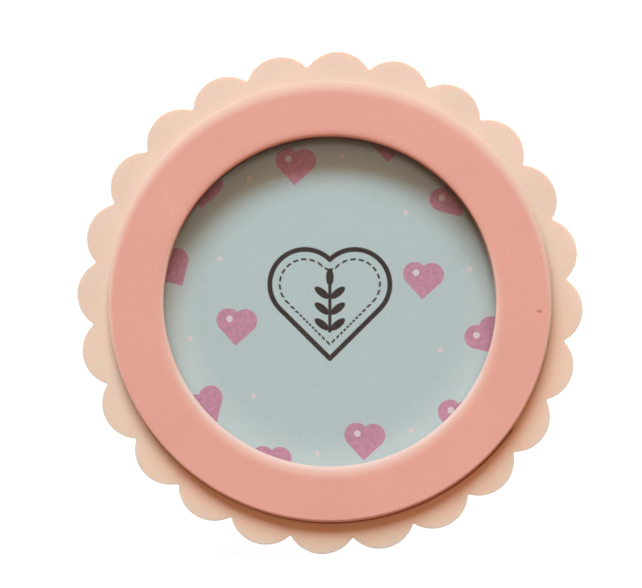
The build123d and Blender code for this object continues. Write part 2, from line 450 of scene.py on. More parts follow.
@dataclass(frozen=True, kw_only=True)
class Hairline(Overlay):
    """A fine line along an arc, between two heights."""

    across: float = 0.0
    rise: float = 0.0
    radius: float
    width: float
    lowest: float
    highest: float
    strength: float
    colour: Colour
    fade: float = 1.5

    def mask(self, across: Socket, rise: Socket, depth: Socket) -> Socket:
        """How strongly the line shows.

        Args:
            across: The place to the right of the window's centre.
            rise: The place above it.
            depth: Not used.

        Returns:
            The mask.
        """
        off = abs(length(across - self.across, rise - self.rise) - self.radius)
        foot = rise.ramp(self.lowest - self.fade, self.lowest + self.fade)
        head = rise.ramp(self.highest + self.fade, self.highest - self.fade)
        return off.ramp(self.width, 0.0) * foot * head * self.strength


class Finish:
    """What the finishes share: each has a slot, and a shader that becomes its material's surface."""

    slot: Slot

    def shader(self, graph: Graph) -> Socket:
        """Add the finish's nodes to a material's graph, up to its shader."""
        raise NotImplementedError

    def material(self) -> Material:
        """Make the finish.

        Returns:
            The material.
        """
        material, graph = new_material(self.slot.value)
        graph.surface(self.shader(graph))
        return material


@dataclass(frozen=True, kw_only=True)
class Textured(Finish):
    """A finish that a fine grain and broad clouds vary, with the grain standing up a little.

    Scales are features to the metre and details are octaves. The shades are what the colour is multiplied by
    where it is darkest and lightest. The gloss follows the clouds, but for its share of the grain.
    """

    slot: Slot
    colour: Colour
    shades: Pair
    grain_scale: float
    grain_detail: float = 2.0
    grain_stretch: Optional[Triple] = None
    grain_strength: float
    grain_height: float
    cloud_scale: float
    cloud_detail: float = 3.0
    cloud_share: float
    roughness: Pair
    gloss_grain_share: float = 0.0
    metallic: float = 0.0
    specular: float = 0.5
    sheen: float = 0.0
    sheen_roughness: float = 0.5
    spread_weight: float = 0.0
    spread_radii: Triple = (1.0, 1.0, 1.0)
    light_spread: float = 1.0 * MM

    def shader(self, graph: Graph) -> Socket:
        """Add the finish's nodes, up to its shader.

        Args:
            graph: The material's graph.

        Returns:
            The shader.
        """
        grain = graph.noise(self.grain_scale, self.grain_detail, self.grain_stretch)
        clouds = graph.noise(self.cloud_scale, self.cloud_detail)
        return graph.principled(
            Base_Color=self.colours(graph, grain.blend(clouds, self.cloud_share)),
            Metallic=self.metallic,
            Roughness=clouds.blend(grain, self.gloss_grain_share).between(*self.roughness),
            Specular_IOR_Level=self.specular,
            Sheen_Weight=self.sheen,
            Sheen_Roughness=self.sheen_roughness,
            Subsurface_Weight=self.spread_weight,
            Subsurface_Radius=self.spread_radii,
            Subsurface_Scale=self.light_spread,
            Normal=graph.bump(grain, self.grain_strength, self.grain_height),
        )

    def colours(self, graph: Graph, pattern: Socket) -> Socket:
        """The finish's colour over the surface, as a noise pattern mottles it."""
        return graph.mottled(self.colour, pattern, self.shades)


@dataclass(frozen=True, kw_only=True)
class Paint(Textured):
    """Soft matte paint on cast resin: a fine powdery tooth, and light that spreads a little under it.

    Its edges get a painted highlight where they face up the picture; some overlays lie under that highlight
    and some on top of it, and several overlays are painted shade or painted highlight.
    """

    face: Face
    # Paler colour painted on edges as a highlight, most where they face up the picture.
    edge_highlight: Colour
    edge_highlight_ramp: Pair = (0.0, 0.22)
    under: tuple[Overlay, ...] = ()
    on_top: tuple[Overlay, ...] = ()
    shades: Pair = (0.96, 1.04)
    grain_scale: float = 2400.0
    grain_strength: float = 0.2
    grain_height: float = 0.05 * MM
    cloud_scale: float = 45.0
    cloud_share: float = 0.45
    roughness: Pair = (0.45, 0.65)
    specular: float = 0.08
    sheen: float = 0.06
    spread_weight: float = 0.3
    spread_radii: Triple = (1.0, 0.55, 0.4)
    light_spread: float = 1.4 * MM

    def colours(self, graph: Graph, pattern: Socket) -> Socket:
        """The paint's colour with its overlays and its painted edge highlight.

        Args:
            graph: The material's graph.
            pattern: The noise that mottles it.

        Returns:
            The colour.
        """
        place = self.face.coordinates(graph)
        base = super().colours(graph, pattern)
        for overlay in self.under:
            base = overlay.over(base, place)
        # Painted highlight on edges that face up the picture.
        edge = graph.add("ShaderNodeAttribute", {"attribute_name": EDGE_HIGHLIGHT}, output="Fac")
        base = graph.mix(edge.ramp(*self.edge_highlight_ramp), base, self.edge_highlight)
        for overlay in self.on_top:
            base = overlay.over(base, place)
        return base


@dataclass(frozen=True, kw_only=True)
class Flock(Textured):
    """Short dark flock on board, brushed in soft clouds."""

    slot: Slot = Slot.FLOCK
    colour: Colour = (0.022, 0.02, 0.022)
    shades: Pair = (0.5, 1.9)
    grain_scale: float = 5200.0
    grain_strength: float = 0.6
    grain_height: float = 0.15 * MM
    cloud_scale: float = 70.0
    cloud_share: float = 0.45
    roughness: Pair = (0.9, 1.0)
    specular: float = 0.1
    sheen: float = 0.4
    sheen_roughness: float = 0.45


@dataclass(frozen=True, kw_only=True)
class Board(Textured):
    """Raw board: short fibres in a mid tone, for the panel, strut and filler."""

    shades: Pair = (0.72, 1.28)
    grain_scale: float = 1300.0
    grain_detail: float = 4.0
    grain_strength: float = 0.4
    grain_height: float = 0.1 * MM
    cloud_scale: float = 110.0
    cloud_detail: float = 2.0
    cloud_share: float = 0.3
    roughness: Pair = (0.8, 0.95)
    gloss_grain_share: float = 1.0
    specular: float = 0.2


@dataclass(frozen=True, kw_only=True)
class PlatedSteel(Textured):
    """Zinc plate on pressed steel: a clouded gloss with fine rolling lines along the sheet."""

    slot: Slot = Slot.STEEL
    colour: Colour = (0.66, 0.65, 0.62)
    shades: Pair = (0.82, 1.1)
    grain_scale: float = 1.0
    grain_stretch: Triple = (300.0, 4200.0, 4200.0)
    grain_strength: float = 0.12
    grain_height: float = 0.02 * MM
    cloud_scale: float = 380.0
    cloud_detail: float = 4.0
    cloud_share: float = 0.6
    roughness: Pair = (0.2, 0.4)
    metallic: float = 1.0


@dataclass(frozen=True)
class ClearGlass(Finish):
    """Thin clear glass: what is behind shows through, with a reflection that grows at a slant."""

    slot: Slot = Slot.GLASS
    tint: Colour = (0.992, 0.996, 0.994)
    index: float = 1.2
    roughness: Pair = (0.015, 0.065)

    def shader(self, graph: Graph) -> Socket:
        """Add the glass's nodes, up to its shader.

        Args:
            graph: The material's graph.

        Returns:
            The shader.
        """
        through = graph.add("ShaderNodeBsdfTransparent", inputs={"Color": self.tint})
        smears = graph.noise(scale=70.0, detail=3.0)
        roughness = smears.between(*self.roughness)
        gloss = graph.principled(Base_Color=self.tint, Metallic=1.0, Roughness=roughness)
        slant = graph.add("ShaderNodeFresnel", inputs={"IOR": self.index})
        return graph.add("ShaderNodeMixShader", inputs={0: slant, 1: through, 2: gloss})


@dataclass(frozen=True)
class PrintedPaper(Finish):
    """Pale blue paper printed with tossed hearts and dots, and a leaf sprig in a large outlined heart.

    Lengths are in millimetres on the picture. The paper is painted lighter towards its lower edge as painted
    light, and darker along its upper rim as painted shade.
    """

    face: Face
    slot: Slot = Slot.PRINT
    paper: Colour = (0.59, 0.775, 0.785)
    paper_shades: Pair = (0.965, 1.035)
    paper_tones: Pair = (0.25, 0.75)
    roughness: Pair = (0.75, 0.9)
    # Painted light: the paper is lightened towards its lower edge, more at the lower left corner.
    glow: PaintedShading = PaintedShading(colour=(0.74, 0.92, 0.89), radii=(38.0, 49.0), reach=(25.0, 5.0))
    painted_light_strength: float = 0.25
    corner_across: Pair = (0.0, -40.0)
    corner_rise: Pair = (-40.0, -15.0)
    corner_strength: float = 0.4
    # Painted shade: a dark brown band along the paper's upper rim beside the bore wall.
    rim: PaintedShading = PaintedShading(
        colour=(0.25, 0.18, 0.1), radii=(47.6, 50.0), way=(0.4, 0.9), reach=(15.0, 40.0), strength=0.65
    )
    mauve: Colour = (0.655, 0.35, 0.475)
    mauve_shades: Pair = (0.9, 1.1)
    pale: Colour = (0.86, 0.82, 0.84)
    ink: Colour = (0.045, 0.035, 0.033)
    soft_edge: float = 0.16
    pitch_across: float = 29.0
    pitch_up: float = 21.5
    pattern_turn_deg: float = 14.0
    tilt_deg: float = 17.0
    heart_size: float = 10.2
    spot_left: float = 0.22 * heart_size
    spot_up: float = 0.24 * heart_size
    spot_radius: float = 1.0
    clear_radius: float = 27.0
    dot_radius: float = 0.8
    badge_size: float = 30.0
    badge_line: float = 0.75
    stitch_inset: float = 3.0
    stitch_line: float = 0.3
    stitch_count: int = 44
    stitch_gap: Pair = (0.3, 0.38)
    stem_half: float = 0.5
    stem_foot: float = -8.6
    leaf_pitch: float = 4.8
    leaf_pairs: int = 3
    leaf_lift: float = 0.6
    leaf_gap: float = 0.3
    leaf_half: float = 2.7
    leaf_half_width: float = 1.15
    leaf_edge: Pair = (1.08, 0.92)
    leaf_rise_deg: float = 38.0

    @staticmethod
    def heart(across: Socket, rise: Socket, size: float) -> Socket:
        """The distance to a heart's edge.

        Args:
            across: The place to the right of the heart's middle.
            rise: The place above it.
            size: The heart's height from its tip to its cleft.

        Returns:
            The distance, negative inside.
        """
        tip_drop = 0.55
        lobe_across = 0.25
        lobe_rise = 0.75
        lobe_radius = math.hypot(lobe_across, 1.0 - lobe_rise)
        x = abs(across) / size
        y = rise / size + tip_drop
        lobe = length(x - lobe_across, y - lobe_rise) - lobe_radius
        fold = (x + y).maths("MAXIMUM", 0.0) / 2.0
        nearest = length(x - fold, y - fold).maths("MINIMUM", length(x, y - 1.0))
        wedge = nearest * (x - y).maths("SIGN")
        return (wedge + (lobe - wedge) * (x + y > 1.0)) * size

    def inside(self, distance: Socket) -> Socket:
        """A soft-edged mask that is 1 where a distance is negative."""
        return distance.ramp(self.soft_edge, -self.soft_edge)

    def tossed(self, across: Socket, rise: Socket) -> tuple[Socket, Socket, Socket]:
        """The tossed hearts, the pale spot on each, and the dots between them, as masks.

        Args:
            across: The place to the right of the picture's middle.
            rise: The place above it.

        Returns:
            The three masks.
        """
        across, rise = turned(across, rise, math.radians(self.pattern_turn_deg))
        half_across, half_up = self.pitch_across / 2, self.pitch_up / 2
        lifted = rise + half_up
        odd = (lifted / self.pitch_up).maths("FLOOR") % 2.0

        def cell(shift: float) -> tuple[Socket, Socket, Socket]:
            """Read the place within a repeat.

            Args:
                shift: How far the repeats are shifted to the left.

            Returns:
                The place across and up in the repeat, and 1 where the repeat lies clear of the middle.
            """
            x = (across + odd * half_across + shift) % self.pitch_across - half_across
            y = lifted % self.pitch_up - half_up
            return x, y, length(across - x, rise - y) > self.clear_radius

        x, y, clear = cell(half_across)
        x, y = turned(x, y, math.radians(self.tilt_deg), odd * 2.0 - 1.0)
        hearts = self.inside(self.heart(x, y, self.heart_size)) * clear
        spot = self.inside(length(x + self.spot_left, y - self.spot_up) - self.spot_radius) * clear
        x, y, clear = cell(0.0)
        return hearts, spot, self.inside(length(x, y) - self.dot_radius) * clear

    def badge(self, across: Socket, rise: Socket) -> Socket:
        """The outlined heart, its row of stitches and the sprig.

        Args:
            across: The place to the right of the picture's middle.
            rise: The place above it.

        Returns:
            All of it as one mask.
        """
        edge = self.heart(across, rise, self.badge_size)
        outline = self.inside(abs(edge) - self.badge_line)
        angle = rise.maths("ARCTAN2", across) * (self.stitch_count / TURN)
        row = self.inside(abs(edge + self.stitch_inset) - self.stitch_line)
        stitches = row * (angle % 1.0).ramp(*self.stitch_gap)
        half = self.leaf_pitch * self.leaf_pairs / 2
        height = rise - self.stem_foot
        within = self.inside(abs(height - half) - half)
        stem = self.inside(abs(across) - self.stem_half) * within
        up_pair = height % self.leaf_pitch - self.leaf_lift
        leaves = self.leaf(*turned(abs(across), up_pair, math.radians(self.leaf_rise_deg))) * within
        tip = self.leaf(height - 2 * half + self.leaf_lift, across)
        total = outline
        for part in (stitches, stem, leaves, tip):
            total = total.maths("MAXIMUM", part)
        return total

    def leaf(self, along: Socket, off: Socket) -> Socket:
        """One leaf that starts near 0 and points along, as a mask."""
        middle = self.leaf_half + self.leaf_gap
        return length((along - middle) / self.leaf_half, off / self.leaf_half_width).ramp(*self.leaf_edge)

    def shader(self, graph: Graph) -> Socket:
        """Add the print's nodes, up to its shader.

        Args:
            graph: The material's graph.

        Returns:
            The shader.
        """
        place = self.face.coordinates(graph)
        across, rise, _ = place
        fibre = graph.noise(scale=1500.0, detail=3.0)
        colour = graph.mottled(self.paper, fibre, self.paper_shades, self.paper_tones)
        # Painted light towards the lower edge.
        corner = across.ramp(*self.corner_across) * rise.ramp(*self.corner_rise)
        lit = self.glow.mask(*place) * (self.painted_light_strength + corner * self.corner_strength)
        colour = graph.mix(lit, colour, self.glow.colour)
        hearts, spot, dots = self.tossed(across, rise)
        grain = graph.noise(scale=900.0)
        mauve = graph.mottled(self.mauve, grain, self.mauve_shades, self.paper_tones)
        colour = graph.mix(hearts, colour, mauve)
        colour = graph.mix(spot.maths("MAXIMUM", dots), colour, self.pale)
        colour = graph.mix(self.badge(across, rise), colour, self.ink)
        # Painted shade along the upper rim.
        colour = self.rim.over(colour, place)
        roughness = fibre.between(*self.roughness)
        return graph.principled(Base_Color=colour, Roughness=roughness, Specular_IOR_Level=0.1)


def points_of(geometry: Sequence) -> Points:
    """The points among some geometry."""
    return [item for item in geometry if isinstance(item, bmesh.types.BMVert)]


class Shape:
    """A piece in the making, drawn face down: X to the left, Y up the frame, Z its depth, in metres."""

    def __init__(self) -> None:
        """Start with nothing drawn."""
        self.mesh = bmesh.new()

    def point(self, place: Sequence[float]) -> Points:
        """Draw one point, ready to be spun."""
        return [self.mesh.verts.new(place)]

    def spin(self, parts: list, centre: Sequence[float], angle: float, steps: int, **options: bool) -> None:
        """Sweep points and edges round an upright axis by an angle in radians."""
        bmesh.ops.spin(self.mesh, geom=parts, cent=centre, axis=AXIS, angle=angle, steps=steps, **options)

    def lathe(self, profile: Sequence[Pair], steps: int) -> None:
        """Turn a profile of radii and depths about the frame's axis.

        Args:
            profile: The corners in order, with the first one repeated at the end if it closes.
            steps: The number of steps round.
        """
        corners = [self.mesh.verts.new((radius, 0.0, depth)) for radius, depth in profile]
        edges = [self.mesh.edges.new(pair) for pair in zip(corners, corners[1:])]
        self.spin(corners + edges, ORIGIN, TURN, steps, use_merge=True)
        self.weld()

    def cone(self, radii: Pair, depths: Pair, steps: int) -> None:
        """Add a capped cone or cylinder about the axis.

        Args:
            radii: The radii at its two ends.
            depths: The depths of those ends, the lesser first.
            steps: The number of sides.
        """
        bmesh.ops.create_cone(
            self.mesh,
            cap_ends=True,
            segments=steps,
            radius1=radii[0],
            radius2=radii[1],
            depth=depths[1] - depths[0],
            matrix=Matrix.Translation((0.0, 0.0, sum(depths) / 2)),
        )

    def draw(self, loop: Edges, move: Callable[[Vector], Sequence[float]]) -> Edges:
        """Extrude a loop of edges and move the new one.

        Args:
            loop: The edges.
            move: Gives the new place of a point.

        Returns:
            The new loop.
        """
        points = set(points_of(bmesh.ops.extrude_edge_only(self.mesh, edges=loop)["geom"]))
        for point in points:
            point.co = move(point.co)
        edges = {edge for point in points for edge in point.link_edges}
        return [edge for edge in edges if points.issuperset(edge.verts)]

    def weld(self) -> None:
        """Join points that lie on each other."""
        bmesh.ops.remove_doubles(self.mesh, verts=self.mesh.verts, dist=TOUCH)

    def edges(self, test: PointTest) -> Edges:
        """The edges whose two ends pass a test."""
        return [edge for edge in self.mesh.edges if all(test(end.co) for end in edge.verts)]

    def corner(self, radius: float, depth: float) -> Edges:
        """The edges of a turned corner, by its radius and its depth."""
        return self.edges(lambda co: abs(co.xy.length - radius) < TOUCH and abs(co.z - depth) < TOUCH)

    def round(self, edges: Edges, radius: float, facets: int) -> None:
        """Round edges off.

        Args:
            edges: The edges.
            radius: The round's radius.
            facets: The number of facets across it.
        """
        bmesh.ops.bevel(
            self.mesh,
            geom=edges,
            offset=radius,
            offset_type="OFFSET",
            segments=facets,
            profile=0.5,
            affect="EDGES",
            material=-1,
        )

    def mark_edge_highlight(self, test: PointTest, upward: Vector, side: float) -> None:
        """Mark how far the points of an edge turn up the picture, for the paint's painted edge highlight.

        Args:
            test: Whether a point belongs to the edge.
            upward: The picture's upright.
            side: How much an edge that looks sideways counts, against one that looks up.
        """
        bmesh.ops.recalc_face_normals(self.mesh, faces=self.mesh.faces)
        edge_highlight = self.mesh.verts.layers.float.new(EDGE_HIGHLIGHT)
        for point in self.mesh.verts:
            if test(point.co):
                tilt = point.normal.xy
                point[edge_highlight] = max(0.0, tilt.dot(upward) + side * tilt.length) / (1.0 + side)


@dataclass
class SubAssembly:
    """Pieces that are built and dressed together."""

    face: Face
    finishes: dict[Slot, Material]

    def dress(self, slot: Slot, *nodes: str) -> None:
        """Give CAD nodes a finish.

        Args:
            slot: The finish.
            nodes: The nodes' names.
        """
        for name in nodes:
            data = frame["nodes"][name].data
            data.materials.clear()
            data.materials.append(self.finishes[slot])
            log.info("dressed %s", name)

    def put(self, shape: Shape, name: str, slot: Slot, node: str, sharp_deg: float = 40.0) -> None:
        """Stand a drawn piece up in the model, in the place of a CAD node of the fixed body.

        Args:
            shape: The drawn piece.
            name: The piece's name.
            slot: Its finish.
            node: The node's name.
            sharp_deg: Edges that turn by more than this stay sharp.
        """
        bmesh.ops.transform(shape.mesh, matrix=self.face.bench(), verts=shape.mesh.verts)
        bmesh.ops.recalc_face_normals(shape.mesh, faces=shape.mesh.faces)
        data = bpy.data.meshes.new(name)
        shape.mesh.to_mesh(data)
        shape.mesh.free()
        data.shade_smooth()
        data.set_sharp_from_angle(angle=math.radians(sharp_deg))
        data.materials.append(self.finishes[slot])
        piece = bpy.data.objects.new(name, data)
        bpy.context.scene.collection.objects.link(piece)
        piece.modifiers.new("face_weights", "WEIGHTED_NORMAL").keep_sharp = True
        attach(piece, "frame")
        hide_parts(node)
        log.info("built %s for %s", name, node)


@dataclass
class Front(SubAssembly):
    """The scalloped body, and the ring whose spigot lines its bore."""

    lobes: int = 24
    across_lobes: float = 152.0 * MM
    lobe_radius: float = 10.75 * MM
    notch_round: float = 0.5 * MM
    rim_thickness: float = 6.0 * MM
    rim_front_round: float = 0.25 * MM
    rim_back_round: float = 1.0 * MM
    rim_draft_deg: float = 7.0
    rim_facets: tuple[int, int] = (6, 4)
    window_radius: float = 50.0 * MM
    ring_width: float = 16.5 * MM
    ring_height: float = 3.6 * MM
    ring_round: float = 0.5 * MM
    ring_facets: int = 10
    outer_widen: Pair = (1.2, 8.5)
    inner_widen: Pair = (4.5, 9.0)
    ring_drop: float = 0.6 * MM
    ring_side: float = 0.4
    # Painted edge highlight: sideways share on the ring, depth of the loops that hold it in, and sideways
    # share on the body.
    highlight_side: float = 1.0
    highlight_loop_depth: float = 1.6 * MM
    rim_side: float = 3.0
    spigot_wall: float = 3.0 * MM
    spigot_length: float = 5.4 * MM
    seat_width: float = 5.0 * MM
    collar_wall: float = 8.0 * MM
    collar_round: float = 1.0 * MM
    collar_facets: int = 4
    back_depth: float = 17.0 * MM
    lobe_steps: int = 20
    notch_steps: int = 4
    ring_steps: int = 288

    def build(self) -> None:
        """Build the ring and the body, and paint their nodes."""
        self.build_ring()
        self.build_body()
        self.dress(Slot.CORAL, "front_ring")
        self.dress(Slot.PEACH, "scalloped_body")

    def build_ring(self) -> None:
        """Turn the ring and its spigot."""
        outer = self.window_radius + self.ring_width
        spigot = self.window_radius + self.spigot_wall
        end = self.ring_height + self.spigot_length
        inner = self.window_radius
        profile = [
            (inner, end),
            (inner, self.highlight_loop_depth),
            (inner, 0.0),
            (outer, 0.0),
            (outer, self.highlight_loop_depth),
            (outer, self.ring_height),
            (spigot, self.ring_height),
            (spigot, end),
            (inner, end),
        ]
        shape = Shape()
        shape.lathe(profile, self.ring_steps)
        for radius in (inner, outer):
            shape.round(shape.corner(radius, 0.0), self.ring_round, self.ring_facets)
        self.swell(shape, outer, 1.0, self.outer_widen)
        self.swell(shape, inner, -1.0, self.inner_widen)
        # Painted highlight on the ring's front shoulders, most where they face up the picture.
        shape.mark_edge_highlight(lambda co: co.z < self.ring_drop + TOUCH, self.upward, self.highlight_side)
        self.put(shape, "painted_ring", Slot.CORAL, "front_ring")

    @property
    def upward(self) -> Vector:
        """The picture's upright on the bench."""
        return Vector((-math.sin(self.face.roll), math.cos(self.face.roll)))

    def swell(self, shape: Shape, edge: float, sense: float, widen: Pair) -> None:
        """Broaden one of the ring's shoulders where it looks up the picture, and leave it crisp elsewhere.

        Args:
            shape: The ring.
            edge: The shoulder's radius.
            sense: 1 for the outer shoulder, -1 for the inner one.
            widen: What its width is multiplied by, where it is crisp and where it is broadest.
        """
        for point in shape.mesh.verts:
            inward = (edge - point.co.xy.length) * sense
            if inward > self.ring_round + TOUCH or point.co.z > self.ring_round + TOUCH:
                continue
            out = point.co.xy.normalized()
            rise = max(0.0, (out.dot(self.upward) * sense + self.ring_side) / (1.0 + self.ring_side))
            wide = widen[0] + (widen[1] - widen[0]) * rise
            eased = self.ring_drop * (1.0 - inward / self.ring_round) ** 2
            depth = point.co.z + (eased - point.co.z) * rise
            point.co = (*out * (edge - inward * wide * sense), depth)

    def outline(self, shape: Shape, depth: float) -> None:
        """Draw the scalloped outline: one lobe and one notch, spun round the frame.

        Args:
            shape: The shape to draw in.
            depth: The outline's depth behind the ring's face.
        """
        half = TURN / self.lobes / 2
        circle = self.across_lobes / 2 - self.lobe_radius
        lobe = Vector((circle * math.cos(half), circle * math.sin(half), depth))
        join = self.lobe_radius + self.notch_round
        notch = Vector((lobe.x + math.sqrt(join**2 - lobe.y**2), 0.0, depth))
        meet = lobe.lerp(notch, self.lobe_radius / join)
        to_notch = math.atan2(lobe.y, notch.x - lobe.x)
        shape.spin(shape.point(meet), lobe, 2 * (half + to_notch), self.lobe_steps)
        shape.spin(shape.point((meet.x, -meet.y, depth)), notch, -2 * to_notch, self.notch_steps)
        shape.weld()
        drawn = shape.mesh.verts[:] + shape.mesh.edges[:]
        shape.spin(drawn, ORIGIN, TURN, self.lobes, use_duplicate=True)
        shape.weld()

    def build_body(self) -> None:
        """Draw the lobed rim with its wall, then the collar and the bore, back to the rim."""
        front, back = self.ring_height, self.ring_height + self.rim_thickness
        seat = self.ring_height + self.spigot_length
        bore = self.window_radius + self.spigot_wall
        rebate = bore + self.seat_width
        collar = rebate + self.collar_wall
        shape = Shape()
        self.outline(shape, front)
        front_rim = shape.mesh.edges[:]
        draft = math.tan(math.radians(self.rim_draft_deg)) / (self.across_lobes / 2)
        loop = front_rim
        for depth in (self.highlight_loop_depth, self.rim_thickness - self.highlight_loop_depth):
            loop = shape.draw(loop, lambda co: (*co.xy * (1.0 - draft * depth), co.z + depth))
        corners = [
            (collar, back),
            (collar, self.back_depth),
            (rebate, self.back_depth),
            (rebate, seat),
            (bore, seat),
            (bore, front),
        ]
        for radius, depth in corners:
            loop = shape.draw(loop, lambda co: (*co.xy.normalized() * radius, depth))
        shape.draw(front_rim, lambda co: (*co.xy.normalized() * bore, front))
        shape.weld()

        def beyond(co: Vector) -> bool:
            """Whether a point lies out on the lobes, past the collar."""
            return co.xy.length > collar + self.spigot_wall

        rounds = (self.rim_front_round, self.rim_back_round)
        for depth, radius, facets in zip((front, back), rounds, self.rim_facets):
            rim = shape.edges(lambda co: beyond(co) and abs(co.z - depth) < TOUCH)
            shape.round(rim, radius, facets)
        shape.round(shape.corner(collar, self.back_depth), self.collar_round, self.collar_facets)
        # Painted highlight on the lobes' front edges, also on the lower edges that lie in shade.
        rounded = front + self.rim_front_round + TOUCH
        shape.mark_edge_highlight(lambda co: beyond(co) and co.z < rounded, self.upward, self.rim_side)
        self.put(shape, "painted_body", Slot.PEACH, "scalloped_body")


@dataclass
class Stack(SubAssembly):
    """What lies in the rebate: pane, print, filler and the flocked panel."""

    pane_front: float = Front.ring_height + Front.spigot_length
    pane_thickness: float = 2.0 * MM
    pane_chamfer: float = 0.3 * MM
    chamfer_facets: int = 1
    print_gap: float = 0.05 * MM
    steps: int = 128

    def build(self) -> None:
        """Build the pane and dress the stack."""
        self.build_pane()
        self.dress(Slot.GLASS, "glass_pane")
        self.dress(Slot.PRINT, "picture_insert")
        self.dress(Slot.GREYBOARD, "filler_board")
        self.dress(Slot.FIBREBOARD, "back_panel")
        self.dress(Slot.FLOCK, "panel_facing")

    def build_pane(self) -> None:
        """Cut the pane, a hair thinner than its place so that the print shows clean behind it."""
        low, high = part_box("glass_pane")
        radius = (high[0] - low[0]) / 2
        front, back = self.pane_front, self.pane_front + self.pane_thickness - self.print_gap
        shape = Shape()
        shape.lathe([(0.0, front), (radius, front), (radius, back), (0.0, back)], self.steps)
        for depth in (front, back):
            shape.round(shape.corner(radius, depth), self.pane_chamfer, self.chamfer_facets)
        self.put(shape, "clear_pane", Slot.GLASS, "glass_pane")


@dataclass
class Fittings(SubAssembly):
    """What is fixed to the back: the easel strut, the hanger, and the turn buttons on their screws."""

    seat: float = 1.2 * MM
    head_radius: float = 2.8 * MM
    head_height: float = 1.8 * MM
    head_round: float = 1.1 * MM
    head_facets: int = 6
    head_steps: int = 40
    shank_radius: float = 1.5 * MM
    point_radius: float = 0.5 * MM
    shank_length: float = 7.0 * MM
    shank_steps: int = 24
    recess_reach: float = 1.35 * MM
    recess_width: float = 0.62 * MM
    recess_depth: float = 0.9 * MM
    recess_taper: float = 0.55
    turn_step_deg: float = 37.0
    sharp_deg: float = 30.0

    def build(self) -> None:
        """Build the screws and dress the fittings."""
        self.build_screws()
        self.dress(Slot.FIBREBOARD, "easel_strut")
        self.dress(Slot.FLOCK, "strut_facing")
        self.dress(Slot.STEEL, "hinge_bracket", "hinge_pin", "hinge_strap", "bracket_rivets", "strap_rivets")
        self.dress(Slot.STEEL, "hanger_strap", "hanger_ring", "hanger_rivet", "button_screws")
        self.dress(Slot.STEEL, *(name for name in frame["nodes"] if name.startswith("turn_button")))

    def places(self) -> list[Matrix]:
        """Find where the screws stand on the bench, each turned a little further than the last.

        Returns:
            The screws' places.
        """
        to_bench = self.face.bench().inverted()
        turns = [joint for joint in frame["joints"] if joint["name"].startswith("turn_button")]
        places = []
        for number, joint in enumerate(turns):
            foot = to_bench @ Vector(joint["pos_m"])
            turn = Matrix.Rotation(math.radians(self.turn_step_deg * number), 4, "Z")
            places.append(Matrix.Translation(foot + Vector((0.0, 0.0, self.seat))) @ turn)
        return places

    def draw_screw(self, shape: Shape) -> None:
        """Draw one screw with its head's underside at 0.

        Args:
            shape: The shape to draw in.
        """
        mesh, top = shape.mesh, self.head_height
        shape.cone((self.head_radius, self.head_radius), (0.0, top), self.head_steps)
        shape.round(shape.edges(lambda co: co.z > top - TOUCH), self.head_round, self.head_facets)
        for size in (self.recess_width / 2, self.recess_reach):
            for normal in ((1, 0, 0), (-1, 0, 0), (0, 1, 0), (0, -1, 0)):
                faces = [face for face in mesh.faces if self.on_top(face)]
                parts = {item for face in faces for item in (*face.verts, *face.edges, face)}
                place = Vector(normal) * size
                bmesh.ops.bisect_plane(mesh, geom=list(parts), plane_co=place, plane_no=normal)
        cross = [face for face in mesh.faces if self.on_top(face) and self.in_cross(face)]
        sunk = bmesh.ops.extrude_face_region(mesh, geom=cross)["geom"]
        bmesh.ops.delete(mesh, geom=[face for face in cross if face.is_valid], context="FACES_ONLY")
        shrink = Matrix.Diagonal((self.recess_taper, self.recess_taper, 1.0, 1.0))
        sink = Matrix.Translation((0.0, 0.0, -self.recess_depth))
        bmesh.ops.transform(mesh, matrix=sink @ shrink, verts=points_of(sunk))
        shape.cone((self.point_radius, self.shank_radius), (-self.shank_length, 0.0), self.shank_steps)

    def on_top(self, face: bmesh.types.BMFace) -> bool:
        """Whether a face lies on the head's flat top."""
        return face.calc_center_median().z > self.head_height - TOUCH

    def in_cross(self, face: bmesh.types.BMFace) -> bool:
        """Whether a face on the head's top lies in the recess."""
        small, large = sorted(abs(part) for part in face.calc_center_median().xy)
        return small < self.recess_width / 2 and large < self.recess_reach

    def build_screws(self) -> None:
        """Draw one screw and copy it to every button."""
        shape = Shape()
        self.draw_screw(shape)
        first = shape.mesh.verts[:] + shape.mesh.edges[:] + shape.mesh.faces[:]
        for place in self.places():
            copy = bmesh.ops.duplicate(shape.mesh, geom=first)["geom"]
            bmesh.ops.transform(shape.mesh, matrix=place, verts=points_of(copy))
        bmesh.ops.delete(shape.mesh, geom=points_of(first), context="VERTS")
        self.put(shape, "cross_screws", Slot.STEEL, "button_screws", self.sharp_deg)


@dataclass(frozen=True)
class Lamp:
    """An oval soft lamp, by its direction from the window: above the face's plane, and left of upright."""

    name: str
    rise_deg: float
    left_deg: float
    distance: float
    width: float
    height: float
    power: float
    colour: Colour


